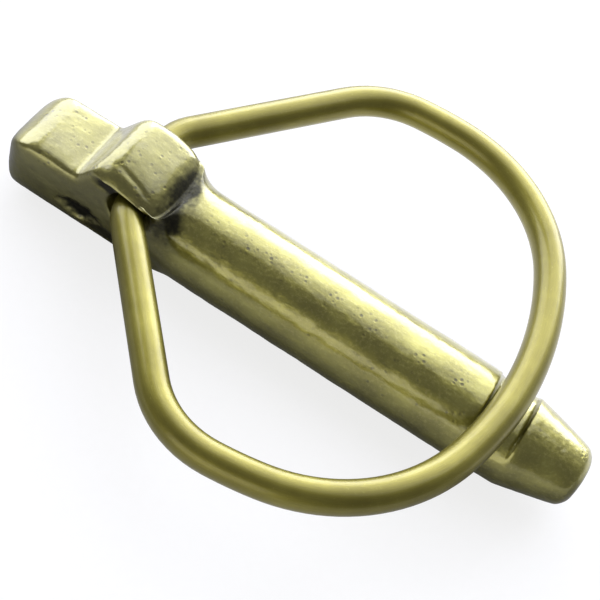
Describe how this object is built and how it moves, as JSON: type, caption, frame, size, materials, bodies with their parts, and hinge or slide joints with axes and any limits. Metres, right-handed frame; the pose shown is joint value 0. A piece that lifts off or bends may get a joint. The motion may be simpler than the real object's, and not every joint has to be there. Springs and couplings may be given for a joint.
{
  "type": "lynch pin",
  "caption": "Forged locking pin with a finger tab, and a bent spring-wire ring that swings over its head and closes into a groove near the tapered tip.",
  "frame": {"origin": "on the shank's axis, where the head's shoulder ends and the plain shank starts", "axes": "+X along the shank towards the tip; +Z the side that the boss and the groove are on, where the closed ring lies; +Y completes the right-handed frame and runs nearly along the ring's swing axis"},
  "size_m": [0.066, 0.0518, 0.0127],
  "materials": {
    "forged_steel": "yellow-passivated zinc over a grainy forged surface",
    "spring_wire": "yellow-passivated zinc over smooth drawn wire, satin"
  },
  "bodies": {
    "pin": {"pin_body": "forged_steel"},
    "ring": {"spring_ring": "spring_wire"}
  },
  "joints": [
    {"name": "ring_swing", "type": "hinge", "parent": "pin", "child": "ring", "pos_m": [-0.0063, 0, 0.00305], "axis": [0.165, -0.9863, 0], "range_deg": [0, 340]}
  ]
}
